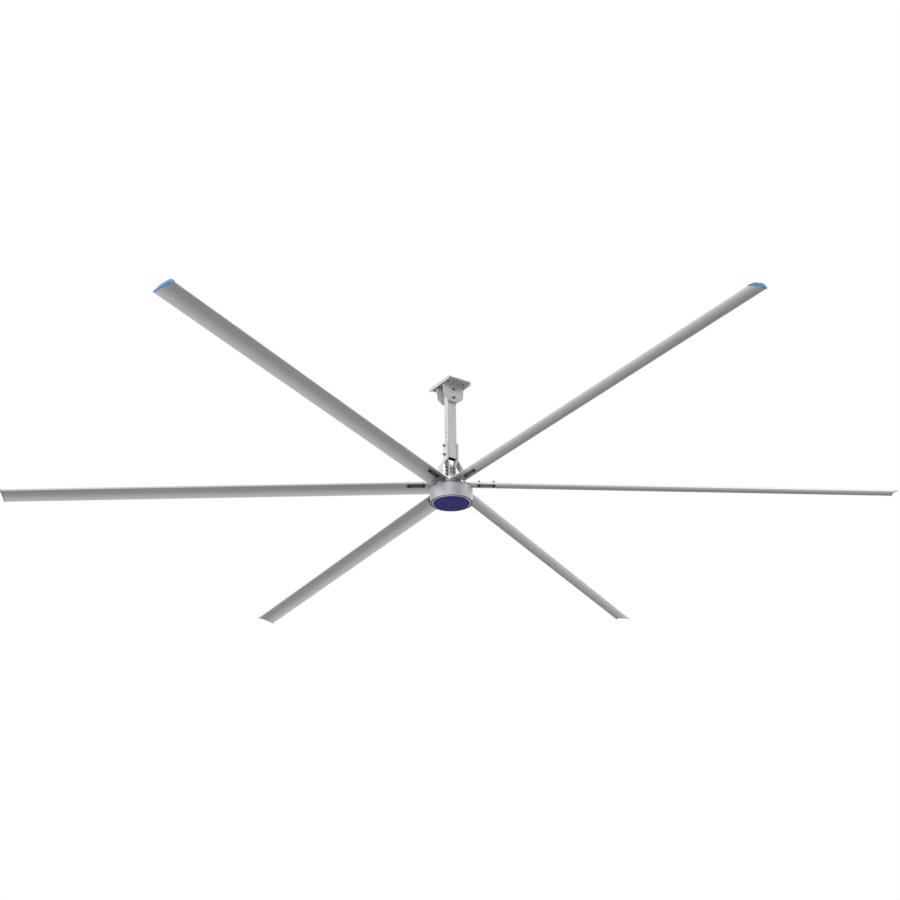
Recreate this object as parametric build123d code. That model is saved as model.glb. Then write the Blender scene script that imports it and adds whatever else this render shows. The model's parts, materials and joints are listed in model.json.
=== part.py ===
from build123d import *
import math
import os

# Industrial ceiling fan, six blades, outer-rotor motor on a drop tube.
# Millimetres and degrees. The origin is the centre of the ceiling plate's top face, +Z up.
# The plate's edges lie along X and Y.

# Ceiling plate
plate_x = 230.0
plate_y = 300.0
plate_t = 10.0
plate_corner_r = 8.0
lip_height = 20.0
lip_t = 8.0
lip_corner_r = 10.0
mount_hole_d = 18.0
mount_span_x = 150.0
mount_span_y = 180.0

# Upper yoke: two cheeks welded under the plate
cheek_width = 208.0
cheek_height = 163.0
cheek_t = 8.0
cheek_slant = 9.0
cheek_cut_x = 48.0
cheek_cut_z = 38.0
cheek_corner_r = 12.0
bush_length = 20.0
bush_d = 26.0
yoke_bolt_drop = 48.0
yoke_bolt_pitch = 81.0

# Drop tube, a rectangular section
tube_x = 90.0
tube_y = 50.0
tube_wall = 4.0
tube_corner_r = 6.0
tube_length = 662.0
tube_top_gap = 15.0
adjust_hole_d = 12.0
adjust_hole_pitch = 36.0
adjust_hole_count = 7
adjust_to_bracket = 14.0

# Lower brackets, from the tube down to the motor's shaft head
bracket_t = 6.0
bracket_width = 60.0
bracket_overlap = 141.0
tube_bolt_edge = 35.0
tube_bolt_pitch = 80.0
crank_gap = 20.0
crank_height = 46.0
flange_width = 36.0

# Guy-wire lugs, bent plates outside the brackets
lug_t = 6.0
lug_length = 88.0
lug_angle = 36.0
lug_tab = 68.0
lug_hole_d = 10.0
lug_hole_span = 34.0
lug_hole_edge = 15.0
lug_corner_r = 8.0

# Shaft head and the bolts through it
head_x = 58.0
head_y = 48.0
head_height = 90.0
head_corner_r = 3.0
head_top_gap = 4.0
neck_bolt_drop = 18.0
neck_bolt_pitch = 29.0
neck_bolt_count = 3
flange_bolt_depth = 12.0
slot_width = 14.0
slot_from_axis = 3.0
slot_depth = 16.0
slot_foot_height = 12.0

# Motor shaft
collar_d = 88.0
collar_t = 12.0
shoulder_d = 54.0
cable_bore_d = 20.0

# Bearings: bore, outer diameter, width, ball diameter
upper_bearing_size = (45.0, 85.0, 19.0, 12.7)
lower_bearing_size = (40.0, 80.0, 18.0, 12.0)
ball_count = 9
race_land_share = 0.30
cage_t = 3.0
cage_height_share = 0.75

# Rotor bell: bearing housing, hub plate, conical shoulder and drum
boss_gap = 4.0
boss_height = 69.0
boss_wall = 13.5
housing_relief = 1.0
hub_d = 250.0
hub_t = 12.0
cone_height = 40.0
cone_t = 9.0
drum_d = 350.0
drum_height = 113.0
drum_wall = 14.0
rim_wall = 4.0
rim_depth = 10.0
seal_t = 8.0
seal_wall = 11.0
seal_lip = 4.0

# Rotor ring and stator
iron_t = 5.0
magnet_t = 6.5
magnet_count = 32
magnet_space = 1.2
magnet_overhang = 5.0
air_gap = 1.0
core_height = 60.0
core_drop = 20.0
slot_count = 24
tooth_width = 14.0
tooth_length = 30.0
core_yoke = 16.0
coil_t = 7.0
coil_liner = 0.4
stator_hub_t = 30.0
stator_hub_wall = 9.5
stator_hole_d = 34.0
stator_hole_count = 6

# Lower end: cover, lock nut, nose ring and disc
cover_t = 8.0
cover_gap = 11.0
ear_angle = 14.0
ear_count = 6
cover_boss_wall = 10.0
cover_shelf = 8.0
nut_clear = 2.0
lock_nut_d = 60.0
lock_nut_t = 9.0
lock_nut_slot = 6.0
lock_nut_slots = 4
shaft_end_past_nut = 2.0
nose_ring_width = 9.0
nose_ring_t = 6.0
nose_disc_d = 296.0
nose_disc_t = 13.0
nose_disc_wall = 3.0
nose_disc_edge_r = 7.0
nose_space = 1.0

# Blades, all six alike
blade_count = 6
rest_phase = 28.0
tip_radius = 3650.0
blade_start = 128.0
blade_pitch = 11.1
blade_droop = 1.15
blade_chord = 162.0
blade_lead = 48.5
blade_wall = 2.0
blade_web = 2.5
land_low = 6.0
land_depth = 21.0
land_front = 19.0
land_back = -29.0
nose_r = 6.5
nose_rise = 1.0
trail_t = 3.0
trail_angle = 19.0
under_angle = 12.0
nose_top_angle = 40.0
nose_under_angle = -100.0
top_set_back = 7.0
rear_bay_share = 0.88
rear_bay_end = 12.0
curve_points = 9
cap_t = 6.0
cap_lip = 1.5
cap_plug = 15.0

# Blade arms and blade fastening
arm_start = 66.0
arm_end = 372.0
arm_side_gap = 0.5
arm_face_gap = 0.25
pad_end = 122.0
arm_rise = 10.0
arm_edge_r = 1.0
arm_screw_radii = (84.0, 110.0)
blade_bolt_radii = (228.0, 349.0)
strip_width = 36.0
strip_t = 4.0
strip_overhang = 18.0

# Fasteners, one size for the frame and the blades, one for the lower cover
bolt_d = 12.0
bolt_af = 18.0
bolt_head_h = 7.5
nut_h = 9.0
washer_d = 24.0
washer_t = 2.5
bolt_past_nut = 13.0
blade_bolt_past_nut = 8.0
screw_head_d = 18.0
screw_head_h = 12.0
screw_socket_af = 10.0
cover_screw_d = 5.0
cover_screw_head_d = 8.5
cover_screw_head_h = 5.0
cover_screw_socket_af = 4.0
cover_screw_sink = 4.0
cover_screw_grip = 12.0

# Clearances, on the radius
hole_clear = 0.5
thread_clear = 0.05
running_clear = 0.05
fit_clear = 0.2

# Heights that follow from the sizes above, from the ceiling down
plate_bottom = -plate_t
tube_top = plate_bottom - tube_top_gap
tube_bottom = tube_top - tube_length
bracket_top = tube_bottom + bracket_overlap
crank_top = tube_bottom - crank_gap
crank_bottom = crank_top - crank_height
head_top = crank_bottom - head_top_gap
head_bottom = head_top - head_height
collar_bottom = head_bottom - collar_t
boss_top = collar_bottom - boss_gap
hub_top = boss_top - boss_height
drum_top = hub_top - cone_height
drum_bottom = drum_top - drum_height
seal_bottom = boss_top - seal_t - running_clear
upper_bearing_top = seal_bottom - seal_lip
upper_bearing_bottom = upper_bearing_top - upper_bearing_size[2]
rim_step = drum_bottom + rim_depth
cover_bottom = rim_step - cover_t
lower_bearing_bottom = cover_bottom + 2 * cover_shelf
lower_bearing_top = lower_bearing_bottom + lower_bearing_size[2]
core_top = drum_top - core_drop
core_bottom = core_top - core_height
shaft_end = lower_bearing_bottom - lock_nut_t - shaft_end_past_nut

# Radii that follow
bell_bore_r = drum_d / 2 - drum_wall
magnet_r = bell_bore_r - iron_t
core_r = magnet_r - magnet_t - air_gap
core_bore_r = core_r - tooth_length - core_yoke
cheek_gap = tube_y + 2 * bush_length
arm_width = land_front - land_back - 2 * arm_side_gap
arm_t = land_depth - 2 * blade_wall - 2 * arm_face_gap
arm_low = land_low + blade_wall + arm_face_gap
land_high = land_low + land_depth
screw_reach = arm_t + arm_rise + hub_t / 2
bolt_line = (land_front + land_back) / 2
blade_angles = [rest_phase + i * 360.0 / blade_count for i in range(blade_count)]


def solids(shapes):
    """A group of separate solids, as one node."""
    return Compound([s for shape in shapes for s in shape.solids()])


def save(node, shape):
    export_step(shape, os.path.join("parts", node + ".step"))


def tube_between(outer_r, inner_r, low, high):
    """A round ring about Z, from one height to another."""
    ring = Circle(outer_r)
    if inner_r > 0:
        ring -= Circle(inner_r)
    return Pos(0, 0, low) * extrude(ring, high - low)


def turned(points):
    """A solid turned about Z from a closed outline of (radius, height) points."""
    outline = Plane.XZ * make_face(Polyline(*points, close=True))
    return revolve(outline, Axis.Z)


upright = (Align.CENTER, Align.CENTER, Align.MIN)


# Fasteners: each stands along its own Z, with its bearing face at zero

def hexagon(across_flats, height):
    return extrude(RegularPolygon(across_flats / 2, 6, major_radius=False), height)


def bolt(length):
    head = Pos(0, 0, -bolt_head_h) * hexagon(bolt_af, bolt_head_h)
    head = head & (Pos(0, 0, -bolt_head_h) * Cone(bolt_af * 0.5, bolt_af * 0.5 + bolt_head_h * 2,
                                                   bolt_head_h, align=upright))
    shank = extrude(Circle(bolt_d / 2), length)
    return head + shank


def nut():
    return hexagon(bolt_af, nut_h) - extrude(Circle(bolt_d / 2 + thread_clear), nut_h)


def washer():
    return extrude(Circle(washer_d / 2) - Circle(bolt_d / 2 + fit_clear), washer_t)


def socket_screw(length):
    head = Pos(0, 0, -screw_head_h) * extrude(Circle(screw_head_d / 2), screw_head_h)
    socket = Pos(0, 0, -screw_head_h) * hexagon(screw_socket_af, screw_head_h / 2)
    return head - socket + extrude(Circle(bolt_d / 2), length)


def bolted_stack(place, grip, past_nut):
    """Bolt, nut and two washers through a stack. place is the first face, Z runs into the stack."""
    through = place * Pos(0, 0, -washer_t) * bolt(grip + 2 * washer_t + nut_h + past_nut)
    rings = [place * Pos(0, 0, -washer_t) * washer(), place * Pos(0, 0, grip) * washer()]
    end_nut = place * Pos(0, 0, grip + washer_t) * nut()
    return through, end_nut, rings


def clear_hole(place, depth, diameter=bolt_d):
    """A drill for a clearance hole, running both ways from place."""
    return place * Cylinder(diameter / 2 + hole_clear, 2 * depth)


# Places of the frame's bolts. Each place's Z runs along its bolt

def yoke_bolt_places():
    start_y = cheek_gap / 2 + cheek_t
    heights = [plate_bottom - yoke_bolt_drop - i * yoke_bolt_pitch for i in range(2)]
    return [Pos(0, start_y, z) * Rot(90, 0, 0) for z in heights]


def tube_bolt_places():
    start_x = tube_x / 2 + bracket_t + lug_t
    heights = [bracket_top - tube_bolt_edge - i * tube_bolt_pitch for i in range(2)]
    return [Pos(start_x, 0, z) * Rot(0, -90, 0) for z in heights]


def neck_bolt_places():
    start_x = head_x / 2 + bracket_t
    heights = [head_top - neck_bolt_drop - i * neck_bolt_pitch for i in range(neck_bolt_count)]
    return [Pos(start_x, 0, z) * Rot(0, -90, 0) for z in heights]


def flange_bolt_places():
    """Two tapped places under each bracket's flange, between the heights of the cross bolts."""
    across = head_x / 2 + bracket_t - flange_width / 2
    start_y = head_y / 2 + bracket_t
    places = []
    for turn in (0, 180):
        for i in range(neck_bolt_count - 1):
            z = head_top - neck_bolt_drop - (i + 0.5) * neck_bolt_pitch
            places.append(Rot(0, 0, turn) * Pos(-across, -start_y, z) * Rot(-90, 0, 0))
    return places


yoke_grip = cheek_gap + 2 * cheek_t
tube_grip = tube_x + 2 * (bracket_t + lug_t)
neck_grip = head_x + 2 * bracket_t


# Ceiling plate and upper yoke

def ceiling_plate():
    """A plate with a stiffening lip down each of its Y-long edges."""
    outline = RectangleRounded(plate_x, plate_y, plate_corner_r)
    face = outline
    for x in (-mount_span_x / 2, mount_span_x / 2):
        for y in (-mount_span_y / 2, mount_span_y / 2):
            face -= Pos(x, y) * Circle(mount_hole_d / 2)
    plate = Pos(0, 0, plate_bottom) * extrude(face, plate_t)
    within = Pos(0, 0, plate_bottom - lip_height) * extrude(outline, lip_height + plate_t)
    depth = lip_height + plate_t / 2
    side_view = Rectangle(plate_y, depth)
    side_view = fillet(side_view.vertices().sort_by(Axis.Y)[:2], min(lip_corner_r, 0.8 * lip_height))
    for side in (-1, 1):
        middle = Pos(side * (plate_x - lip_t) / 2, 0, plate_bottom - lip_height + depth / 2)
        lip = middle * extrude(Plane.YZ * side_view, lip_t / 2, both=True)
        plate += lip & within
    return plate


def yoke_cheek(side):
    """One cheek, on the side -1 or +1 of the tube: slanted sides and cut lower corners, all rounded."""
    half_top = cheek_width / 2
    half_low = half_top - cheek_slant
    right = [(half_top, 0), (half_low, cheek_cut_z - cheek_height), (half_low - cheek_cut_x, -cheek_height)]
    left = [(-x, z) for x, z in reversed(right)]
    outline = make_face(Polyline(*right, *left, close=True))
    outline = fillet(outline.vertices().sort_by(Axis.Y)[:4], cheek_corner_r)
    middle_y = side * (cheek_gap + cheek_t) / 2
    face = Pos(0, middle_y, plate_bottom) * Rot(90, 0, 0) * outline
    cheek = extrude(face, cheek_t / 2, both=True)
    for place in yoke_bolt_places():
        cheek -= clear_hole(place, 2 * yoke_grip)
    return cheek


def spacer_bushes():
    bushes = []
    for place in yoke_bolt_places():
        for start in (cheek_t, cheek_t + bush_length + tube_y):
            ring = Circle(bush_d / 2) - Circle(bolt_d / 2 + fit_clear)
            bushes.append(place * Pos(0, 0, start) * extrude(ring, bush_length))
    return solids(bushes)


def drop_tube():
    section = RectangleRounded(tube_x, tube_y, tube_corner_r)
    section -= RectangleRounded(tube_x - 2 * tube_wall, tube_y - 2 * tube_wall, tube_corner_r / 2)
    tube = Pos(0, 0, tube_bottom) * extrude(section, tube_length)
    for place in yoke_bolt_places():
        tube -= clear_hole(place, yoke_grip)
    for place in tube_bolt_places():
        tube -= clear_hole(place, tube_grip)
    for i in range(adjust_hole_count):
        z = bracket_top + adjust_to_bracket + i * adjust_hole_pitch
        tube -= Pos(0, 0, z) * Rot(0, 90, 0) * Cylinder(adjust_hole_d / 2, 2 * tube_x)
    return tube


# Lower brackets and guy-wire lugs

def bent_plate(path, thickness, width):
    """A plate bent along a path of (x, z) points, thickened to the left of the path, centred on Y."""
    outer = []
    for i, point in enumerate(path):
        before = Vector(*path[max(i - 1, 0)])
        here = Vector(*point)
        after = Vector(*path[min(i + 1, len(path) - 1)])
        way_in = (here - before).normalized() if i > 0 else (after - here).normalized()
        way_out = (after - here).normalized() if i < len(path) - 1 else way_in
        normal_in = Vector(way_in.Y, -way_in.X)
        normal_out = Vector(way_out.Y, -way_out.X)
        middle = (normal_in + normal_out).normalized()
        shifted = here + middle * (thickness / middle.dot(normal_in))
        outer.append((shifted.X, shifted.Y))
    outline = make_face(Polyline(*path, *reversed(outer), close=True))
    return extrude(Rot(90, 0, 0) * outline, width / 2, both=True)


def yoke_bracket():
    """The left bracket. The right one is the same, turned half a turn about Z."""
    path = [(-tube_x / 2, bracket_top), (-tube_x / 2, crank_top),
            (-head_x / 2, crank_bottom), (-head_x / 2, head_bottom)]
    bracket = bent_plate(path, bracket_t, bracket_width)
    front = head_y / 2 + bracket_t
    for side, keep in ((-1, front), (1, head_y / 2)):
        spare = max(bracket_width / 2, front) + 1
        cut_height = crank_bottom - head_bottom
        if spare > keep:
            cut = Box(tube_x, spare - keep, cut_height, align=(Align.CENTER, Align.MIN, Align.MIN))
            bracket -= Pos(-tube_x / 2, side * keep if side > 0 else -spare, head_bottom) * cut
    flange_left = -head_x / 2 - bracket_t
    flange = Box(flange_width, bracket_t, crank_bottom - head_bottom, align=Align.MIN)
    bracket += Pos(flange_left, -front, head_bottom) * flange
    for place in tube_bolt_places() + neck_bolt_places():
        bracket -= clear_hole(place, tube_grip)
    for place in flange_bolt_places():
        bracket -= clear_hole(place, 2 * bracket_t)
    return bracket


def guy_lug():
    """The left lug: flat against the bracket, bent out along a wing, then down to a tab with two holes."""
    lean = math.radians(lug_angle)
    start_x = -tube_x / 2 - bracket_t
    tab_x = start_x - lug_length * math.sin(lean)
    tab_top = crank_top - lug_length * math.cos(lean)
    tab_end = tab_top - lug_tab
    path = [(start_x, bracket_top), (start_x, crank_top), (tab_x, tab_top), (tab_x, tab_end)]
    lug = bent_plate(path, lug_t, bracket_width)
    corners = lug.edges().filter_by(lambda e: abs(e.length - lug_t) < 0.01).sort_by(Axis.Z)[:2]
    lug = fillet(corners, lug_corner_r)
    for place in tube_bolt_places():
        lug -= clear_hole(place, tube_grip)
    for y in (-lug_hole_span / 2, lug_hole_span / 2):
        hole = Pos(tab_x, y, tab_end + lug_hole_edge) * Rot(0, 90, 0) * Cylinder(lug_hole_d / 2, 4 * lug_t)
        lug -= hole
    return lug


# Motor shaft, stator and bearings

def motor_shaft():
    head = Pos(0, 0, head_bottom) * extrude(RectangleRounded(head_x, head_y, head_corner_r), head_height)
    shaft = head + tube_between(collar_d / 2, 0, collar_bottom, head_bottom)
    shaft += tube_between(shoulder_d / 2, 0, upper_bearing_top, collar_bottom)
    shaft += tube_between(upper_bearing_size[0] / 2, 0, lower_bearing_top, upper_bearing_top)
    shaft += tube_between(lower_bearing_size[0] / 2, 0, shaft_end, lower_bearing_top)
    bore_top = head_bottom + bolt_d / 2
    bore_bottom = core_top - core_height / 2
    shaft -= tube_between(cable_bore_d / 2, 0, bore_bottom, bore_top)
    slot_bottom = Pos(slot_from_axis, -head_y / 2, head_bottom - collar_t / 2)
    shaft -= slot_bottom * Box(slot_width, slot_depth, head_height + collar_t / 2, align=Align.MIN)
    shaft -= slot_bottom * Box(slot_width, head_y / 2, slot_foot_height, align=Align.MIN)
    lead_way = Pos(0, 0, (core_top + upper_bearing_bottom) / 2) * Rot(0, 90, 0)
    shaft -= lead_way * Cylinder(cable_bore_d / 4, shoulder_d, align=upright)
    for place in neck_bolt_places():
        shaft -= clear_hole(place, neck_grip)
    for place in flange_bolt_places():
        shaft -= place * Cylinder(bolt_d / 2 + thread_clear, 2 * (bracket_t + flange_bolt_depth))
    return shaft


def bearing(size, top):
    """Inner race, outer race, cage and balls of a deep-groove ball bearing, its top face at a height."""
    bore, outside, width, ball_d = size
    pitch_r = (bore + outside) / 4
    section = (outside - bore) / 2
    land = section * race_land_share
    middle = top - width / 2
    groove = Pos(0, 0, middle) * Torus(pitch_r, ball_d / 2 + running_clear)
    inner = tube_between(bore / 2 + land, bore / 2, top - width, top) - groove
    outer = tube_between(outside / 2, outside / 2 - land, top - width, top) - groove
    cage_height = width * cage_height_share
    cage = tube_between(pitch_r + cage_t / 2, pitch_r - cage_t / 2, middle - cage_height / 2,
                        middle + cage_height / 2)
    balls = []
    for i in range(ball_count):
        place = Rot(0, 0, i * 360.0 / ball_count) * Pos(pitch_r, 0, middle)
        balls.append(place * Sphere(ball_d / 2))
        cage -= place * Rot(0, 90, 0) * Cylinder(ball_d / 2 + running_clear, section)
    return inner, outer, cage, solids(balls)


def stator_hub():
    """Spider between shaft and core. Its long boss also spaces the two inner races."""
    shaft_r = upper_bearing_size[0] / 2
    middle = (core_top + core_bottom) / 2
    hub = tube_between(shaft_r + stator_hub_wall, shaft_r, lower_bearing_top, upper_bearing_bottom)
    hub += tube_between(core_bore_r, shaft_r, middle - stator_hub_t / 2, middle + stator_hub_t / 2)
    hole_circle = (core_bore_r + shaft_r + stator_hub_wall) / 2
    for i in range(stator_hole_count):
        turn = Rot(0, 0, i * 360.0 / stator_hole_count)
        hub -= turn * Pos(hole_circle, 0, middle) * Cylinder(stator_hole_d / 2, 2 * stator_hub_t)
    lead_way = Pos(0, 0, (core_top + upper_bearing_bottom) / 2) * Rot(0, 90, 0)
    hub -= lead_way * Cylinder(cable_bore_d / 4, hole_circle, align=upright)
    return hub


def stator_core():
    """Laminated core: a yoke ring with teeth pointing outwards."""
    yoke_r = core_bore_r + core_yoke
    core = Circle(yoke_r)
    for i in range(slot_count):
        length = core_r - yoke_r / 2
        tooth = Pos(yoke_r / 2 + length / 2, 0) * Rectangle(length, tooth_width)
        core += Rot(0, 0, i * 360.0 / slot_count) * tooth
    core = (core & Circle(core_r)) - Circle(core_bore_r)
    return Pos(0, 0, core_bottom) * extrude(core, core_height)


def stator_coils():
    """One closed winding on each tooth."""
    inner_r = core_bore_r + core_yoke + 2 * coil_liner
    length = core_r - inner_r - coil_t / 2
    hole = (tooth_width + 2 * coil_liner, core_height + 2 * coil_liner)
    section = RectangleRounded(hole[0] + 2 * coil_t, hole[1] + 2 * coil_t, coil_t)
    section -= Rectangle(*hole)
    coils = []
    for i in range(slot_count):
        coil = Rot(0, 90, 0) * Rot(0, 0, 90) * extrude(section, length)
        coils.append(Rot(0, 0, i * 360.0 / slot_count) * Pos(inner_r, 0, (core_top + core_bottom) / 2) * coil)
    return solids(coils)


def shaft_nut():
    """Slotted lock nut under the lower inner race."""
    high = lower_bearing_bottom
    ring = tube_between(lock_nut_d / 2, lower_bearing_size[0] / 2 + thread_clear, high - lock_nut_t, high)
    for i in range(lock_nut_slots):
        slot = Box(lock_nut_slot, lock_nut_slot, lock_nut_t * 2)
        ring -= Rot(0, 0, i * 360.0 / lock_nut_slots) * Pos(lock_nut_d / 2, 0, high - lock_nut_t / 2) * slot
    return ring


# Rotor

def blade_frame(angle):
    """A blade's own frame: X along the span, Y towards the leading edge, Z square to the chord."""
    plane_height = hub_top + arm_rise - arm_low
    return Rot(0, 0, angle) * Pos(0, 0, plane_height) * Rot(0, blade_droop, 0) * Rot(blade_pitch, 0, 0)


def arm_box(start, end, low, high, side_gap=0.0):
    """A box along the arm's line, in the blade's own frame."""
    width = arm_width + 2 * side_gap
    box = Box(end - start, width, high - low)
    return Pos((start + end) / 2, bolt_line, (low + high) / 2) * box


def arm_screw_places(angle):
    """Tops of the arm at its screws, with Z running down into the hub plate."""
    return [blade_frame(angle) * Pos(r, bolt_line, arm_low + arm_t) * Rot(180, 0, 0) for r in arm_screw_radii]


def rotor_bell():
    housing_r = upper_bearing_size[1] / 2
    boss_r = housing_r + boss_wall
    seal_r = shoulder_d / 2 + seal_wall
    land_r = housing_r - (upper_bearing_size[1] - upper_bearing_size[0]) / 2 * race_land_share
    bell = turned([
        (seal_r, boss_top), (boss_r, boss_top), (boss_r, hub_top), (hub_d / 2, hub_top),
        (drum_d / 2, drum_top), (drum_d / 2, drum_bottom), (drum_d / 2 - rim_wall, drum_bottom),
        (drum_d / 2 - rim_wall, rim_step), (bell_bore_r, rim_step), (bell_bore_r, drum_top - cone_t),
        (hub_d / 2 - cone_t, hub_top - hub_t), (housing_r + housing_relief, hub_top - hub_t),
        (housing_r + housing_relief, upper_bearing_bottom), (housing_r, upper_bearing_bottom),
        (housing_r, upper_bearing_top), (land_r, upper_bearing_top), (land_r, seal_bottom),
        (seal_r, seal_bottom)])
    above_plate = tube_between(hub_d / 2 + 1, boss_r, hub_top - hub_t / 2, hub_top + 4 * arm_rise)
    for angle in blade_angles:
        block = blade_frame(angle) * arm_box(arm_start - 2, pad_end, arm_low - 5 * arm_rise, arm_low)
        bell += block & above_plate
    for angle in blade_angles:
        for place in arm_screw_places(angle):
            bell -= place * Cylinder(bolt_d / 2 + thread_clear, 4 * screw_reach)
    tapped = Cylinder(cover_screw_d / 2 + thread_clear, 2 * cover_screw_grip + 2 * cover_t)
    for i in range(ear_count):
        bell -= cover_screw_place(i) * tapped
    return bell


def back_iron_ring():
    return tube_between(bell_bore_r, magnet_r, core_bottom - magnet_overhang, core_top + magnet_overhang)


def rotor_magnets():
    sector = 360.0 / magnet_count
    half_space = math.degrees(magnet_space / 2 / magnet_r)
    magnets = []
    for i in range(magnet_count):
        start = i * sector + half_space
        end = (i + 1) * sector - half_space
        inner_r = magnet_r - magnet_t
        corners = [Vector(r, 0).rotate(Axis.Z, a) for a in (start, end) for r in (inner_r, magnet_r)]
        outline = Line(corners[0], corners[1]) + CenterArc((0, 0), magnet_r, start, end - start)
        outline += Line(corners[3], corners[2]) + CenterArc((0, 0), inner_r, start, end - start)
        height = core_height + 2 * magnet_overhang
        magnets.append(Pos(0, 0, core_bottom - magnet_overhang) * extrude(make_face(outline), height))
    return solids(magnets)


def shaft_seal():
    outer_r = shoulder_d / 2 + seal_wall
    return tube_between(outer_r, shoulder_d / 2 + running_clear, boss_top - seal_t, boss_top)


# Lower cover, nose ring and disc

def cover_screw_place(i):
    """Bearing face of one cover screw's head, with Z running up into the bell's rim."""
    circle_r = bell_bore_r + cover_screw_head_d / 2
    return Rot(0, 0, i * 360.0 / ear_count) * Pos(circle_r, 0, cover_bottom + cover_screw_sink)


def bottom_cover():
    edge_r = drum_d / 2 - rim_wall - fit_clear
    disc_r = drum_d / 2 - rim_wall - cover_gap
    seat_r = lower_bearing_size[1] / 2
    pocket_r = lock_nut_d / 2 + nut_clear
    cover = tube_between(disc_r, 0, cover_bottom, rim_step)
    cover += tube_between(seat_r + cover_boss_wall, 0, rim_step, lower_bearing_top)
    cover -= tube_between(seat_r, 0, lower_bearing_bottom, lower_bearing_top)
    cover -= tube_between(pocket_r, 0, cover_bottom, lower_bearing_bottom)
    half = math.tan(math.radians(ear_angle / 2)) * edge_r
    for i in range(ear_count):
        ear = Pos(edge_r / 2 + disc_r / 4, 0, cover_bottom) * extrude(
            Rectangle(edge_r - disc_r / 2, 2 * half), cover_t)
        ear = ear & tube_between(edge_r, disc_r / 2, cover_bottom, rim_step)
        cover += Rot(0, 0, i * 360.0 / ear_count) * ear
    for i in range(ear_count):
        place = cover_screw_place(i)
        cover -= clear_hole(place, 2 * cover_t, cover_screw_d)
        sink = Cylinder(cover_screw_head_d / 2 + fit_clear, 2 * cover_screw_sink,
                        align=(Align.CENTER, Align.CENTER, Align.MAX))
        cover -= place * sink
    return cover


def cover_screws():
    screws = []
    for i in range(ear_count):
        head = Pos(0, 0, -cover_screw_head_h) * extrude(Circle(cover_screw_head_d / 2), cover_screw_head_h)
        socket = Pos(0, 0, -cover_screw_head_h) * hexagon(cover_screw_socket_af, cover_screw_head_h / 2)
        screw = head - socket + extrude(Circle(cover_screw_d / 2), cover_screw_grip)
        screws.append(cover_screw_place(i) * screw)
    return solids(screws)


def nose_ring():
    inner_r = nose_disc_d / 2 + nose_space
    ring = tube_between(inner_r + nose_ring_width, inner_r, cover_bottom - nose_ring_t, cover_bottom)
    lower_edges = ring.edges().group_by(Axis.Z)[0]
    return fillet(lower_edges, min(nose_ring_width, nose_ring_t) / 3)


def nose_disc():
    """A shallow dish with a rounded edge, open side up."""
    radius = nose_disc_d / 2
    low = cover_bottom - nose_disc_t
    disc = tube_between(radius, 0, low, cover_bottom)
    edge_r = min(nose_disc_edge_r, nose_disc_t * 0.8)
    disc = fillet(disc.edges().group_by(Axis.Z)[0], edge_r)
    inside = tube_between(radius - nose_disc_wall, 0, low + nose_disc_wall, cover_bottom)
    inside_r = max(edge_r - nose_disc_wall, 0.5)
    return disc - fillet(inside.edges().group_by(Axis.Z)[0], inside_r)


# Blades

def blade_curves():
    """The section's curves, anticlockwise from the nose: a round nose, a curve up to a flat land over the
    arm, a long curve down to a thin trailing edge, and back along the underside over a second land."""
    centre = Vector(blade_lead - nose_r, nose_rise)
    trail = blade_lead - blade_chord
    nose_high = centre + Vector(nose_r, 0).rotate(Axis.Z, nose_top_angle)
    nose_low = centre + Vector(nose_r, 0).rotate(Axis.Z, nose_under_angle)
    rise = Vector(1, 0).rotate(Axis.Z, nose_top_angle + 90)
    dive = Vector(1, 0).rotate(Axis.Z, nose_under_angle + 90)
    fall = Vector(-1, 0).rotate(Axis.Z, trail_angle)
    climb = Vector(1, 0).rotate(Axis.Z, under_angle)
    top_front = Vector(land_front - top_set_back, land_high)
    top_back = Vector(land_back + top_set_back, land_high)
    nose = ThreePointArc(nose_low, centre + Vector(nose_r, 0), nose_high)
    over_nose = Spline(nose_high, top_front, tangents=[rise, Vector(-1, 0)])
    over_tail = Spline(top_back, (trail, trail_t / 2), tangents=[Vector(-1, 0), fall])
    under_tail = Spline((trail, -trail_t / 2), (land_back, land_low), tangents=[climb, Vector(1, 0)])
    under_nose = Spline((land_front, land_low), nose_low, tangents=[Vector(1, 0), dive])
    return nose, over_nose, over_tail, under_tail, under_nose


def beside(curve, distance, start=0.0, end=1.0):
    """A curve at a distance to the left of another, between two shares of its length."""
    shares = [start + (end - start) * i / (curve_points - 1) for i in range(curve_points)]
    points = [curve @ share + (curve % share).rotate(Axis.Z, 90) * distance for share in shares]
    return Spline(*points, tangents=[curve % start, curve % end])


def closed_face(curves):
    """The face inside a chain of curves, with straight lines wherever one curve ends off the next."""
    chain = []
    for i, curve in enumerate(curves):
        before = curves[i - 1]
        if (before @ 1 - curve @ 0).length > 0.001:
            chain.append(Line(before @ 1, curve @ 0))
        chain.append(curve)
    return make_face([edge for curve in chain for edge in curve.edges()])


def blade_outline(lip=0.0):
    """The outline of the section, or a line at a small distance outside it."""
    curves = blade_curves()
    if lip == 0:
        return closed_face(curves)
    nose, over_nose, over_tail, under_tail, under_nose = [beside(curve, -lip) for curve in curves]
    trail = blade_lead - blade_chord - lip
    edge = Line((trail, trail_t / 2), (trail, -trail_t / 2))
    return closed_face([nose, over_nose, over_tail, edge, under_tail, under_nose])


def chord_strip(back, front):
    return Pos((back + front) / 2, 0) * Rectangle(front - back, 4 * land_high)


def front_bay(gap=0.0):
    """The hollow behind the nose, a wall's thickness inside the outline."""
    nose, over_nose, over_tail, under_tail, under_nose = blade_curves()
    inside = [beside(curve, blade_wall + gap) for curve in (under_nose, nose, over_nose)]
    return closed_face(inside) & chord_strip(land_front + blade_web + gap, blade_lead)


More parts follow.
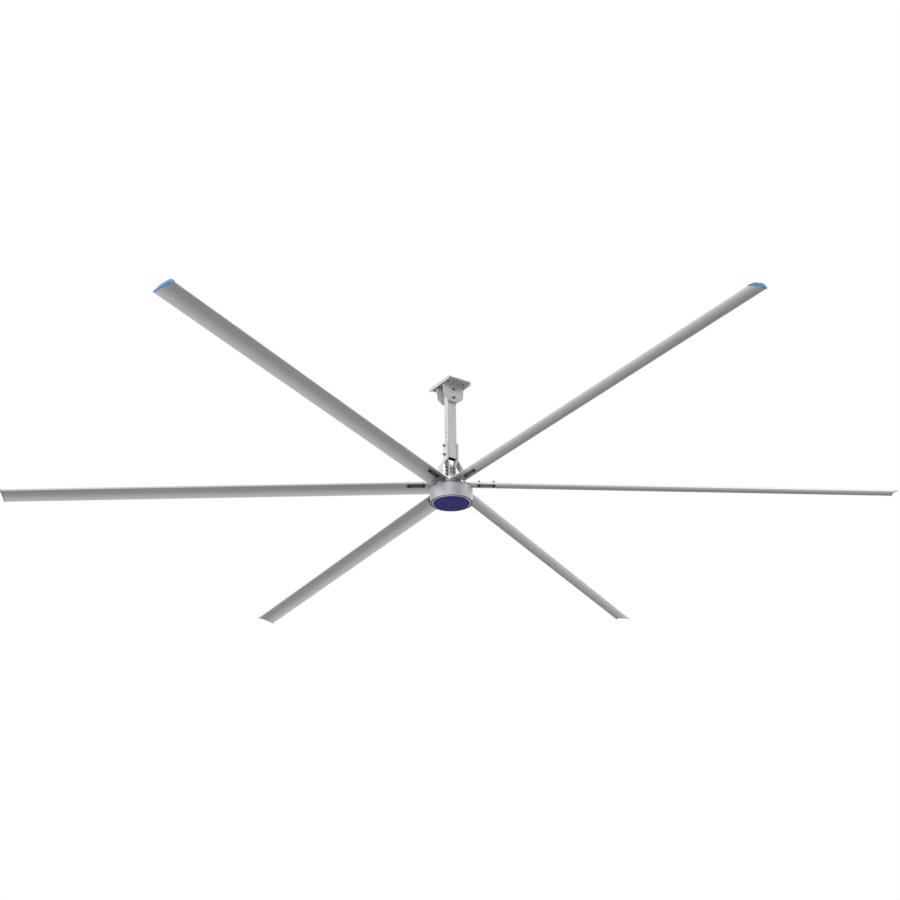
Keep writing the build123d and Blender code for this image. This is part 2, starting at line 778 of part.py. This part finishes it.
def rear_bay(gap=0.0):
    """The hollow behind the arm, closed where it gets too thin."""
    nose, over_nose, over_tail, under_tail, under_nose = blade_curves()
    inside = [beside(over_tail, blade_wall + gap, 0.0, rear_bay_share),
              beside(under_tail, blade_wall + gap, 1 - rear_bay_share, 1.0)]
    return closed_face(inside) & chord_strip(blade_lead - blade_chord + rear_bay_end + gap,
                                             land_back - blade_web - gap)


def along_span(section, start, end):
    """A section drawn as (towards the leading edge, up), carried along the blade's X."""
    return Pos(start, 0, 0) * extrude(Plane.YZ * section, end - start)


def blade_body():
    """One blade in its own frame. The bay in the middle holds the arm."""
    arm_bay = Pos(bolt_line, (land_low + land_high) / 2) * Rectangle(land_front - land_back,
                                                                     land_depth - 2 * blade_wall)
    section = blade_outline() - arm_bay - front_bay() - rear_bay()
    blade = along_span(section, blade_start, tip_radius - cap_t)
    for r in blade_bolt_radii:
        blade -= clear_hole(Pos(r, bolt_line, 0), 2 * land_high)
    return blade


def tip_cap():
    """End cap in the blade's own frame: a plate a little larger than the section, with two plugs."""
    plate = along_span(blade_outline(cap_lip), tip_radius - cap_t, tip_radius)
    plug_start = tip_radius - cap_t - cap_plug
    front_plug = along_span(front_bay(fit_clear), plug_start, tip_radius - cap_t)
    rear_plug = along_span(rear_bay(fit_clear), plug_start, tip_radius - cap_t)
    return plate + front_plug + rear_plug


def blade_arm():
    arm = arm_box(arm_start, arm_end, arm_low, arm_low + arm_t)
    arm = fillet(arm.edges().filter_by(Axis.X), arm_edge_r)
    for r in blade_bolt_radii + arm_screw_radii:
        arm -= clear_hole(Pos(r, bolt_line, 0), 2 * land_high)
    return arm


def clamp_strip():
    """Flat strip under the blade, with round ends, below the two bolts."""
    first, last = blade_bolt_radii
    length = last - first + 2 * strip_overhang
    strip = SlotOverall(length, strip_width)
    solid = Pos((first + last) / 2, bolt_line, land_low - strip_t) * extrude(strip, strip_t)
    for r in blade_bolt_radii:
        solid -= clear_hole(Pos(r, bolt_line, 0), 2 * land_high)
    return solid


def blade_stacks():
    """Bolts, nuts and washers that hold one blade to its arm, heads below the strip."""
    grip = strip_t + land_depth
    places = [Pos(r, bolt_line, land_low - strip_t) for r in blade_bolt_radii]
    return [bolted_stack(place, grip, blade_bolt_past_nut) for place in places]


# Frame nodes

os.makedirs("parts", exist_ok=True)

save("ceiling_plate", ceiling_plate())
save("yoke_cheek_front", yoke_cheek(-1))
save("yoke_cheek_back", yoke_cheek(1))
save("spacer_bushes", spacer_bushes())
save("drop_tube", drop_tube())
save("yoke_bracket_left", yoke_bracket())
save("yoke_bracket_right", Rot(0, 0, 180) * yoke_bracket())
save("guy_lug_left", guy_lug())
save("guy_lug_right", Rot(0, 0, 180) * guy_lug())
save("motor_shaft", motor_shaft())

yoke_stacks = [bolted_stack(place, yoke_grip, bolt_past_nut) for place in yoke_bolt_places()]
tube_stacks = [bolted_stack(place, tube_grip, bolt_past_nut) for place in tube_bolt_places()]
neck_stacks = [bolted_stack(place, neck_grip, bolt_past_nut) for place in neck_bolt_places()]
frame_stacks = yoke_stacks + tube_stacks + neck_stacks
save("yoke_bolts", solids([stack[0] for stack in yoke_stacks]))
save("tube_bolts", solids([stack[0] for stack in tube_stacks]))
save("neck_bolts", solids([stack[0] for stack in neck_stacks]))
save("frame_nuts", solids([stack[1] for stack in frame_stacks]))
flange_washers = [place * Pos(0, 0, -washer_t) * washer() for place in flange_bolt_places()]
save("frame_washers", solids([ring for stack in frame_stacks for ring in stack[2]] + flange_washers))
flange_length = washer_t + bracket_t + flange_bolt_depth
save("flange_bolts", solids([place * Pos(0, 0, -washer_t) * bolt(flange_length)
                             for place in flange_bolt_places()]))

# Motor nodes

save("stator_hub", stator_hub())
save("stator_core", stator_core())
save("stator_coils", stator_coils())
save("shaft_nut", shaft_nut())
bearings = {"upper_bearing": (upper_bearing_size, upper_bearing_top),
            "lower_bearing": (lower_bearing_size, lower_bearing_top)}
for name, (size, top) in bearings.items():
    inner_race, outer_race, cage, balls = bearing(size, top)
    save(name + "_inner", inner_race)
    save(name + "_outer", outer_race)
    save(name + "_cage", cage)
    save(name + "_balls", balls)
save("rotor_bell", rotor_bell())
save("back_iron_ring", back_iron_ring())
save("rotor_magnets", rotor_magnets())
save("shaft_seal", shaft_seal())
save("bottom_cover", bottom_cover())
save("cover_screws", cover_screws())
save("nose_ring", nose_ring())
save("nose_disc", nose_disc())

# Blade nodes

one_blade = blade_body()
one_cap = tip_cap()
one_arm = blade_arm()
one_strip = clamp_strip()
strips, bolts, nuts, rings, screws = [], [], [], [], []
for number, angle in enumerate(blade_angles, start=1):
    frame = blade_frame(angle)
    save(f"blade_{number}", frame * one_blade)
    save(f"tip_cap_{number}", frame * one_cap)
    save(f"blade_arm_{number}", frame * one_arm)
    strips.append(frame * one_strip)
    for through, end_nut, pair in blade_stacks():
        bolts.append(frame * through)
        nuts.append(frame * end_nut)
        rings += [frame * pair[1]]
    for place in arm_screw_places(angle):
        screws.append(place * socket_screw(screw_reach))
save("clamp_strips", solids(strips))
save("blade_bolts", solids(bolts))
save("blade_nuts", solids(nuts))
save("blade_washers", solids(rings))
save("arm_screws", solids(screws))
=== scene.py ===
import json
import math

import bmesh
import bpy
import numpy as np
from mathutils import Matrix, Vector


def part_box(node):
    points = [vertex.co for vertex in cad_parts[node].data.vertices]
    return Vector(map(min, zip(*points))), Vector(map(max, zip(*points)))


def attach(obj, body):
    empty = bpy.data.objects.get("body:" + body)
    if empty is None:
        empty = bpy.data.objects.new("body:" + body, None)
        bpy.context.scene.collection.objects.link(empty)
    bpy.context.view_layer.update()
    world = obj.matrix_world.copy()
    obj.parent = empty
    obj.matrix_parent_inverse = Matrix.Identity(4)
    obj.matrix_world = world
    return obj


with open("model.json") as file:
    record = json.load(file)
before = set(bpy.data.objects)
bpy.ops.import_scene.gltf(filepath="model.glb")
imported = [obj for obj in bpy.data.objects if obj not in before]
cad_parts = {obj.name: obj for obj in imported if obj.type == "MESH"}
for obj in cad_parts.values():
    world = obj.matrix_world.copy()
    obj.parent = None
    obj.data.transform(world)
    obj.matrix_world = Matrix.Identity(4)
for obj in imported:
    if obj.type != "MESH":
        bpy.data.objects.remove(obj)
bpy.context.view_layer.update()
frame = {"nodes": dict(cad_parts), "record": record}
nodes = frame["nodes"]
print("frame loaded,", len(nodes), "nodes")


# Camera. Turn 0 looks along +Y, and pitch is upwards
camera = {"place": (-5.844, -8.664, -5.624), "turn": -33.9645, "pitch": 25.652, "roll": -0.767,
          "lens": 55.87, "sensor": 36.0, "farthest": 200}


def addCamera(data):
    lens = bpy.data.cameras.new("photoCamera")
    lens.lens = data["lens"]
    lens.sensor_width = data["sensor"]
    lens.clip_end = data["farthest"]
    holder = bpy.data.objects.new("photoCamera", lens)
    bpy.context.scene.collection.objects.link(holder)
    turn = Matrix.Rotation(math.radians(data["turn"]), 4, "Z")
    tilt = Matrix.Rotation(math.radians(90 + data["pitch"]), 4, "X")
    roll = Matrix.Rotation(math.radians(data["roll"]), 4, "Z")
    holder.matrix_world = Matrix.Translation(data["place"]) @ turn @ tilt @ roll
    bpy.context.scene.camera = holder


addCamera(camera)
bpy.context.scene.view_settings.view_transform = "Standard"


# Lamps: wide suns, so that every blade gets the same light
lamps = {
    "keyLamp": {"turn": -42, "height": 10, "strength": 3.1, "spread": 50},
    "sideLamp": {"turn": 108, "height": 8, "strength": 2.2, "spread": 60},
}


def addLamps(data):
    # turn is measured from the camera's side of the object, positive to the right
    for name, lamp in data.items():
        sun = bpy.data.lights.new(name, "SUN")
        sun.energy = lamp["strength"]
        sun.angle = math.radians(lamp["spread"])
        holder = bpy.data.objects.new(name, sun)
        bpy.context.scene.collection.objects.link(holder)
        turn = math.radians(camera["turn"] + lamp["turn"])
        height = math.radians(lamp["height"])
        level = math.cos(height)
        towards = Vector((math.sin(turn) * level, -math.cos(turn) * level, math.sin(height)))
        holder.rotation_euler = towards.to_track_quat("Z", "Y").to_euler()


addLamps(lamps)


# Shader nodes. In an input's name, _ stands for a space
def addNode(tree, kind, **inputs):
    node = tree.nodes.new(kind)
    for name, value in inputs.items():
        node.inputs[name.replace("_", " ")].default_value = value
    return node


def addMath(tree, operation, first, second):
    node = tree.nodes.new("ShaderNodeMath")
    node.operation = operation
    tree.links.new(first, node.inputs[0])
    tree.links.new(second, node.inputs[1])
    return node.outputs[0]


def rayIsSeen(tree):
    # 1 for what the camera sees, straight on, mirrored or through glass, and 0 for light
    path = tree.nodes.new("ShaderNodeLightPath")
    mirrored = addMath(tree, "MAXIMUM", path.outputs["Is Camera Ray"], path.outputs["Is Glossy Ray"])
    return addMath(tree, "MAXIMUM", mirrored, path.outputs["Is Transmission Ray"])


# World: white where it is seen or mirrored, softer as light
world = {"light": 0.42, "background": 1.0}


def addWorld(data):
    sky = bpy.data.worlds.new("studioWorld")
    bpy.context.scene.world = sky
    sky.use_nodes = True
    tree = sky.node_tree
    tree.nodes.clear()
    mix = addNode(tree, "ShaderNodeMix", A=data["light"], B=data["background"])
    tree.links.new(rayIsSeen(tree), mix.inputs["Factor"])
    backdrop = addNode(tree, "ShaderNodeBackground", Color=(1, 1, 1, 1))
    tree.links.new(mix.outputs["Result"], backdrop.inputs["Strength"])
    out = tree.nodes.new("ShaderNodeOutputWorld")
    tree.links.new(backdrop.outputs[0], out.inputs["Surface"])


addWorld(world)

# Floor, far enough below for a view from underneath. It looks lighter than the light it throws back
floor = {"height": -22.0, "size": 160.0, "seenShade": 0.75, "bounceShade": 0.32, "roughness": 0.9}


def addFloor(data):
    half = data["size"] / 2
    corners = [(-half, -half, 0), (half, -half, 0), (half, half, 0), (-half, half, 0)]
    mesh = bpy.data.meshes.new("floor")
    mesh.from_pydata(corners, [], [(0, 1, 2, 3)])
    mesh.transform(Matrix.Translation((0, 0, data["height"])))
    plane = bpy.data.objects.new("floor", mesh)
    bpy.context.scene.collection.objects.link(plane)
    paint = bpy.data.materials.new("floorPaint")
    paint.use_nodes = True
    tree = paint.node_tree
    shader = tree.nodes["Principled BSDF"]
    shader.inputs["Roughness"].default_value = data["roughness"]
    shader.inputs["Specular IOR Level"].default_value = 0.0
    shade = addNode(tree, "ShaderNodeMix", A=data["bounceShade"], B=data["seenShade"])
    tree.links.new(rayIsSeen(tree), shade.inputs["Factor"])
    tree.links.new(shade.outputs["Result"], shader.inputs["Base Color"])
    plane.data.materials.append(paint)


addFloor(floor)
print("camera, lamps and floor ready")


# Materials. Each finish is a base colour, broken up by noise on Object coordinates
noise = {"low": 0.3, "high": 0.7, "broadDetail": 4.0, "broadRoughness": 0.55,
         "fineDetail": 3.0, "fineRoughness": 0.6}
plainFinish = {"turn": 0, "stretch": (1, 1, 1), "gloss": 0.5, "bump": 0.1, "depth": 0.0004}


def mixColour(tree, share, below, above):
    mix = tree.nodes.new("ShaderNodeMix")
    mix.data_type = "RGBA"
    tree.links.new(share, mix.inputs["Factor"])
    tree.links.new(below, mix.inputs[6])
    mix.inputs[7].default_value = (*above, 1)
    return mix.outputs[2]


def paintLightTowardsTail(tree, colour, turned, paintedTailLight):
    # painted light: the colour lightens towards the thin edge, standing in for the light that falls there:
    # a ramp over the chord, from start to end
    parts = tree.nodes.new("ShaderNodeSeparateXYZ")
    tree.links.new(turned.outputs[0], parts.inputs[0])
    ramp = addNode(tree, "ShaderNodeMapRange", From_Min=paintedTailLight["start"], From_Max=paintedTailLight["end"])
    tree.links.new(parts.outputs["Y"], ramp.inputs["Value"])
    return mixColour(tree, ramp.outputs[0], colour, paintedTailLight["colour"])


def paintShadeInside(tree, colour, place, inside):
    # painted shade: every face that lies within a box is painted dark, standing in for the shade in that
    # recess: each axis is compared with the box's middle
    parts = tree.nodes.new("ShaderNodeSeparateXYZ")
    tree.links.new(place.outputs["Object"], parts.inputs[0])
    shares = []
    for axis, low, high in zip("XYZ", inside["low"], inside["high"]):
        within = tree.nodes.new("ShaderNodeMath")
        within.operation = "COMPARE"
        within.inputs[1].default_value = (low + high) / 2
        within.inputs[2].default_value = (high - low) / 2
        tree.links.new(parts.outputs[axis], within.inputs[0])
        shares.append(within.outputs[0])
    share = addMath(tree, "MULTIPLY", addMath(tree, "MULTIPLY", shares[0], shares[1]), shares[2])
    return mixColour(tree, share, colour, inside["colour"])


def makeFinish(name, data):
    # the broad noise mixes the two shades, and the fine one gives roughness and bump
    finish = {**plainFinish, **data}
    material = bpy.data.materials.new(name)
    material.use_nodes = True
    tree = material.node_tree
    shader = tree.nodes["Principled BSDF"]
    place = tree.nodes.new("ShaderNodeTexCoord")
    # turned along the blade first, then stretched, so that the grain follows the piece
    turned = addNode(tree, "ShaderNodeMapping", Rotation=(0, 0, math.radians(-finish["turn"])))
    mapping = addNode(tree, "ShaderNodeMapping", Scale=finish["stretch"])
    tree.links.new(place.outputs["Object"], turned.inputs["Vector"])
    tree.links.new(turned.outputs[0], mapping.inputs["Vector"])
    broad = addNode(tree, "ShaderNodeTexNoise", Scale=finish["broad"],
                    Detail=noise["broadDetail"], Roughness=noise["broadRoughness"])
    fine = addNode(tree, "ShaderNodeTexNoise", Scale=finish["fine"],
                   Detail=noise["fineDetail"], Roughness=noise["fineRoughness"])
    tree.links.new(mapping.outputs[0], broad.inputs["Vector"])
    tree.links.new(mapping.outputs[0], fine.inputs["Vector"])
    shades = tree.nodes.new("ShaderNodeMix")
    shades.data_type = "RGBA"
    shades.inputs[6].default_value = (*finish["dark"], 1)
    shades.inputs[7].default_value = (*finish["light"], 1)
    spread = addNode(tree, "ShaderNodeMapRange", From_Min=noise["low"], From_Max=noise["high"])
    tree.links.new(broad.outputs["Fac"], spread.inputs["Value"])
    tree.links.new(spread.outputs[0], shades.inputs["Factor"])
    colour = shades.outputs[2]
    # painted light across a blade's chord, lighter towards the trailing edge
    if "paintedTailLight" in finish:
        colour = paintLightTowardsTail(tree, colour, turned, finish["paintedTailLight"])
    # painted shade on the faces that lie inside a box
    if "inside" in finish:
        colour = paintShadeInside(tree, colour, place, finish["inside"])
    tree.links.new(colour, shader.inputs["Base Color"])
    rough = addNode(tree, "ShaderNodeMapRange", From_Min=noise["low"], From_Max=noise["high"],
                    To_Min=finish["rough"][0], To_Max=finish["rough"][1])
    tree.links.new(fine.outputs["Fac"], rough.inputs["Value"])
    tree.links.new(rough.outputs[0], shader.inputs["Roughness"])
    shader.inputs["Metallic"].default_value = finish["metal"]
    shader.inputs["Specular IOR Level"].default_value = finish["gloss"]
    bump = addNode(tree, "ShaderNodeBump", Strength=finish["bump"], Distance=finish["depth"])
    tree.links.new(fine.outputs["Fac"], bump.inputs["Height"])
    tree.links.new(bump.outputs[0], shader.inputs["Normal"])
    return material


finishes = {
    "frame_steel": {"dark": (0.49, 0.50, 0.51), "light": (0.56, 0.57, 0.58), "broad": 14, "fine": 900,
                    "rough": (0.45, 0.6), "metal": 0.1, "gloss": 0.3, "bump": 0.25},
    "zinc_fasteners": {"dark": (0.1, 0.1, 0.105), "light": (0.3, 0.3, 0.3), "broad": 60, "fine": 700,
                       "rough": (0.22, 0.38), "metal": 0.8},
    "black_fasteners": {"dark": (0.012, 0.012, 0.013), "light": (0.03, 0.03, 0.032), "broad": 60,
                        "fine": 800, "rough": (0.4, 0.55), "metal": 0.4},
    "black_strip": {"dark": (0.05, 0.05, 0.052), "light": (0.09, 0.09, 0.092), "broad": 40, "fine": 800,
                    "rough": (0.42, 0.58), "metal": 0.2},
    "shaft_steel": {"dark": (0.22, 0.23, 0.24), "light": (0.34, 0.35, 0.36), "broad": 30, "fine": 600,
                    "rough": (0.35, 0.5), "metal": 0.6},
    "bearing_steel": {"dark": (0.55, 0.55, 0.56), "light": (0.65, 0.65, 0.66), "broad": 40, "fine": 900,
                      "rough": (0.12, 0.2), "metal": 1.0, "bump": 0.02},
    "cage_brass": {"dark": (0.55, 0.4, 0.15), "light": (0.7, 0.52, 0.22), "broad": 40, "fine": 700,
                   "rough": (0.25, 0.4), "metal": 1.0},
    "inner_aluminium": {"dark": (0.42, 0.42, 0.43), "light": (0.52, 0.52, 0.53), "broad": 20,
                        "fine": 500, "rough": (0.45, 0.6), "metal": 0.7, "bump": 0.3},
    "lamination_steel": {"dark": (0.12, 0.12, 0.13), "light": (0.2, 0.2, 0.21), "broad": 30, "fine": 600,
                         "stretch": (0.05, 0.05, 2.5), "rough": (0.35, 0.5), "metal": 0.8, "bump": 0.5},
    "copper_winding": {"dark": (0.32, 0.1, 0.03), "light": (0.5, 0.19, 0.07), "broad": 50, "fine": 400,
                       "rough": (0.25, 0.4), "metal": 0.8, "bump": 0.4},
    "magnet": {"dark": (0.1, 0.1, 0.11), "light": (0.16, 0.16, 0.17), "broad": 40, "fine": 700,
               "rough": (0.4, 0.55), "metal": 0.5},
    "bell_silver": {"dark": (0.4, 0.415, 0.44), "light": (0.47, 0.485, 0.51), "broad": 9, "fine": 700,
                    "rough": (0.5, 0.62), "metal": 0.5, "bump": 0.3},
    "cover_dark": {"dark": (0.07, 0.074, 0.085), "light": (0.11, 0.115, 0.13), "broad": 12, "fine": 700,
                   "rough": (0.4, 0.5), "metal": 0.3, "gloss": 0.3, "bump": 0.3},
    "seal_rubber": {"dark": (0.012, 0.012, 0.012), "light": (0.022, 0.022, 0.022), "broad": 40,
                    "fine": 700, "rough": (0.6, 0.75), "metal": 0.0},
    "ring_pale": {"dark": (0.82, 0.83, 0.86), "light": (0.88, 0.89, 0.91), "broad": 12, "fine": 600,
                  "rough": (0.28, 0.36), "metal": 0.3},
    "disc_navy": {"dark": (0.018, 0.021, 0.25), "light": (0.024, 0.028, 0.3), "broad": 8, "fine": 900,
                  "rough": (0.4, 0.5), "metal": 0.0, "gloss": 0.12, "bump": 0.15},
    "arm_aluminium": {"dark": (0.3, 0.3, 0.31), "light": (0.4, 0.4, 0.41), "broad": 25, "fine": 500,
                      "rough": (0.35, 0.5), "metal": 0.8},
    "cap_blue": {"dark": (0.022, 0.2, 0.5), "light": (0.03, 0.24, 0.58), "broad": 12, "fine": 800,
                 "rough": (0.3, 0.4), "metal": 0.0, "bump": 0.15},
}

# Blades: the angle of the first one about Z, and one finish that is turned to each
blades = {"count": 6, "firstAngle": 28.0,
          "finish": {"dark": (0.47, 0.47, 0.475), "light": (0.52, 0.52, 0.525), "broad": 3, "fine": 18,
                     "stretch": (0.25, 14, 14), "rough": (0.32, 0.4), "metal": 0.55, "bump": 0.04,
                     # painted light: the blade's colour lightens along the chord towards the trailing edge
                     "paintedTailLight": {"start": -0.025, "end": -0.105, "colour": (0.92, 0.92, 0.92)}}}

# Painted shade on the faces inside these boxes: the tube's inner walls, the shaft head's cable slot, the
# plate's holes
paintedShadeBoxes = {
    "drop_tube": {"low": (-0.0415, -0.0215, -0.7), "high": (0.0415, 0.0215, 0.0),
                  "colour": (0.02, 0.02, 0.02)},
    "motor_shaft": {"low": (0.0028, -0.0232, -0.86), "high": (0.0172, -0.0075, -0.7),
                    "colour": (0.01, 0.01, 0.01)},
    "ceiling_plate": {"low": (-0.1, -0.14, -0.0099), "high": (0.1, 0.14, -0.0001),
                      "colour": (0.02, 0.02, 0.02)},
}


def bladeAngle(number):
    # the first angle, and one share of a full turn for each blade before this one
    return blades["firstAngle"] + (number - 1) * 360 / blades["count"]


def dressNodes():
    made = {slot: makeFinish(slot, finish) for slot, finish in finishes.items()}
    slots = {part["node"]: part["material_slot"] for part in frame["record"]["subparts"]}
    for name, node in nodes.items():
        slot = slots[name]
        if slot == "blade_aluminium":
            number = int(name.split("_")[-1])
            finish = makeFinish("bladeAluminium" + str(number),
                                {**blades["finish"], "turn": bladeAngle(number)})
        # pieces with recesses get painted shade there
        elif name in paintedShadeBoxes:
            finish = makeFinish(name + "Finish", {**finishes[slot], "inside": paintedShadeBoxes[name]})
        else:
            finish = made[slot]
        node.data.materials.clear()
        node.data.materials.append(finish)
    return made


slotFinishes = dressNodes()
print("finishes on", len(nodes), "nodes")


# New pieces: each is a set of grids of points, rows by columns
def addGrid(name, grids, body, slot):
    # each grid is (rows, columns, 3), its columns close into a ring, and neighbouring points make a quad
    verts, faces, start = [], [], 0
    for grid in grids:
        rows, columns = grid.shape[:2]
        here = start + np.arange(rows * columns).reshape(rows, columns)
        right = np.roll(here, -1, axis=1)
        faces.append(np.stack([here[:-1], right[:-1], right[1:], here[1:]], axis=-1).reshape(-1, 4))
        verts.append(grid.reshape(-1, 3))
        start += rows * columns
    mesh = bpy.data.meshes.new(name)
    mesh.from_pydata(np.concatenate(verts).tolist(), [], np.concatenate(faces).tolist())
    mesh.validate()
    cleaner = bmesh.new()
    cleaner.from_mesh(mesh)
    bmesh.ops.recalc_face_normals(cleaner, faces=cleaner.faces)
    cleaner.to_mesh(mesh)
    cleaner.free()
    mesh.polygons.foreach_set("use_smooth", [True] * len(mesh.polygons))
    piece = bpy.data.objects.new(name, mesh)
    bpy.context.scene.collection.objects.link(piece)
    piece.data.materials.append(slotFinishes[slot])
    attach(piece, body)


# Weld beads between the yoke's cheeks and the ceiling plate
weld = {"leg": 0.006, "pitch": 0.0035, "ripple": 0.09, "rippleBow": 0.35, "flatness": 0.25,
        "inset": 0.003, "endSize": 0.02, "overlap": 0.0005, "steps": 280, "across": 10}


def weldBead(data, cheek, side):
    # across the bead an arc bulges from plate to cheek, and along it the leg swells with the sine of x
    low, high = (np.array(corner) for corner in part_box(cheek))
    x = np.linspace(low[0] + data["inset"], high[0] - data["inset"], data["steps"])[:, None]
    turn = np.linspace(0, np.pi / 2, data["across"])[None, :]
    crescent = np.sin(2 * np.pi * (x / data["pitch"] - data["rippleBow"] * np.sin(2 * turn)))
    ends = np.minimum(1, np.minimum(x - x[0], x[-1] - x) / data["leg"] + data["endSize"])
    leg = data["leg"] * np.sqrt(ends) * (1 + data["ripple"] * crescent)
    bulge = leg * (1 - data["flatness"] * np.sin(2 * turn))
    face = low[1] if side < 0 else high[1]
    y = face + side * bulge * np.cos(turn)
    z = high[2] - bulge * np.sin(turn)
    # the root lies a little inside both cheek and plate
    rootY = np.full_like(x, face - side * data["overlap"])
    rootZ = np.full_like(x, high[2] + data["overlap"])
    root = np.stack([x, rootY, rootZ], axis=-1)
    skin = np.stack([x + 0 * y, y, z], axis=-1)
    return np.concatenate([root, skin], axis=1)


beads = [weldBead(weld, "yoke_cheek_front", -1), weldBead(weld, "yoke_cheek_back", 1)]
addGrid("yokeWelds", beads, "mount", "frame_steel")
print("weld beads ready")

# Threads on the bolt ends that stand out of their nuts, which face -X, or -Y on the yoke
thread = {"radius": 0.006, "height": 0.00035, "pitch": 0.00175, "sink": 0.0002, "nutHeight": 0.009,
          "perTurn": 26, "profile": (0.08, 0.5, 0.92), "tipGap": 0.0005}
frameBolts = {"yoke": {"node": "yoke_bolts", "axis": "Y", "heights": (-0.058, -0.139), "length": 0.0125},
              "tube": {"node": "tube_bolts", "axis": "X", "heights": (-0.581, -0.661), "length": 0.0125},
              "neck": {"node": "neck_bolts", "axis": "X", "heights": (-0.775, -0.804, -0.833),
                       "length": 0.0125}}
# radii and line place a bolt along and across its blade, the rest stacks up from the blade's plane
bladeBolts = {"radii": (0.228, 0.349), "line": -0.005, "planeHeight": -0.93025, "droop": 1.15,
              "pitch": 11.1, "low": 0.002, "grip": 0.025, "washer": 0.0025, "length": 0.0076}


def threadRidge(data, length):
    # a three-sided ridge follows a helix about Z: radius by ridge height, rise by pitch times turns
    turns = length / data["pitch"] - 1
    sweep = np.linspace(0, 2 * np.pi * turns, int(turns * data["perTurn"]))[:, None]
    out = np.array([-data["sink"], data["height"], -data["sink"]])[None, :]
    along = np.array(data["profile"])[None, :] * data["pitch"]
    # the crest rises and dies away over half a turn at each end
    fade = np.minimum(1, np.minimum(sweep, sweep[-1] - sweep) / np.pi)
    r = data["radius"] + np.where(out > 0, out * fade, out)
    z = along + data["pitch"] * sweep / (2 * np.pi)
    return np.stack([r * np.cos(sweep), r * np.sin(sweep), z], axis=-1)


def placed(grid, place):
    # every point is turned by the matrix, then moved by its translation
    turned = grid.reshape(-1, 3) @ np.array(place.to_3x3()).T + np.array(place.translation)
    return turned.reshape(grid.shape)


def frameThreads(data):
    # each ridge runs out to just short of its bolt's end, which is the low side of the bolts' box
    grids = []
    for bolts in data.values():
        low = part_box(bolts["node"])[0]
        ridge = threadRidge(thread, bolts["length"])
        for height in bolts["heights"]:
            if bolts["axis"] == "Y":
                turn = Matrix.Rotation(math.radians(90), 4, "X")
                start = Vector((0, low[1] + bolts["length"] + thread["tipGap"], height))
            else:
                turn = Matrix.Rotation(math.radians(-90), 4, "Y")
                start = Vector((low[0] + bolts["length"] + thread["tipGap"], 0, height))
            grids.append(placed(ridge, Matrix.Translation(start) @ turn))
    return grids


def bladeThreads(data):
    # a blade's frame is its angle about Z, its height, its droop and its pitch, one after another
    grids = []
    ridge = threadRidge(thread, data["length"])
    top = data["low"] + data["grip"] + data["washer"] + thread["nutHeight"]
    for number in range(1, blades["count"] + 1):
        bladeFrame = (Matrix.Rotation(math.radians(bladeAngle(number)), 4, "Z")
                      @ Matrix.Translation((0, 0, data["planeHeight"]))
                      @ Matrix.Rotation(math.radians(data["droop"]), 4, "Y")
                      @ Matrix.Rotation(math.radians(data["pitch"]), 4, "X"))
        for radius in data["radii"]:
            grids.append(placed(ridge, bladeFrame @ Matrix.Translation((radius, data["line"], top))))
    return grids


addGrid("frameBoltThreads", frameThreads(frameBolts), "mount", "zinc_fasteners")
addGrid("bladeBoltThreads", bladeThreads(bladeBolts), "rotor", "black_fasteners")
print("bolt threads ready")
